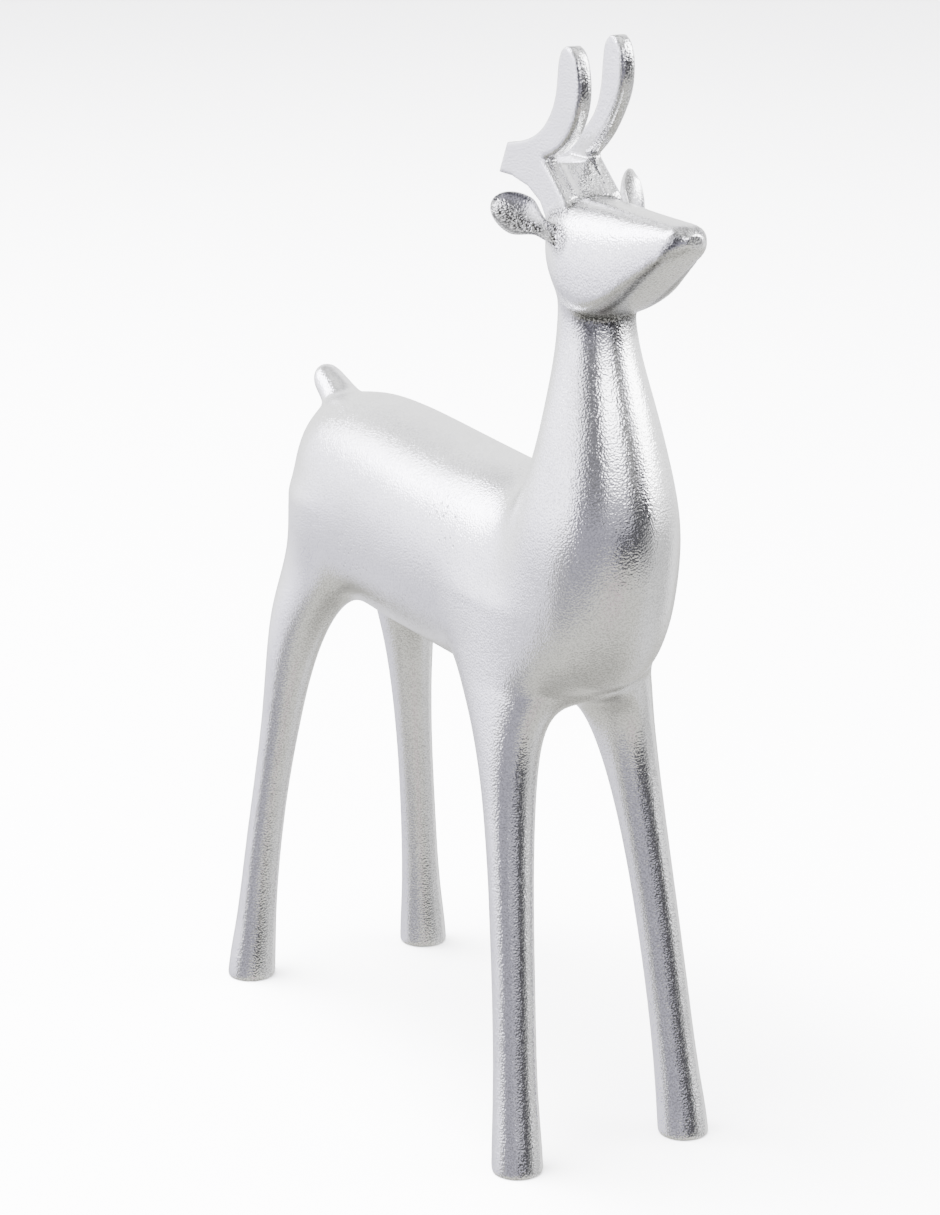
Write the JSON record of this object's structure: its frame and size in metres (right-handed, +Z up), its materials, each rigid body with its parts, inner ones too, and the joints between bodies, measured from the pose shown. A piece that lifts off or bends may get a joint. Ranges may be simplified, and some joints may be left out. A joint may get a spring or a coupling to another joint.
{
  "type": "deer figurine",
  "caption": "Slim standing deer ornament cast in one piece of bright satin metal, with joined plate antlers, cupped ears, a short raised tail and long tapering legs.",
  "frame": {"origin": "on the ground, under the middle of the figure's bounding box", "axes": "+Z up; the deer faces -Y, with its right side at -X and its left side at +X"},
  "size_m": [0.069, 0.1938, 0.2806],
  "materials": {
    "cast_aluminium": "bright satin, as cast and polished"
  },
  "bodies": {
    "root": {"deer": "cast_aluminium"}
  },
  "joints": []
}
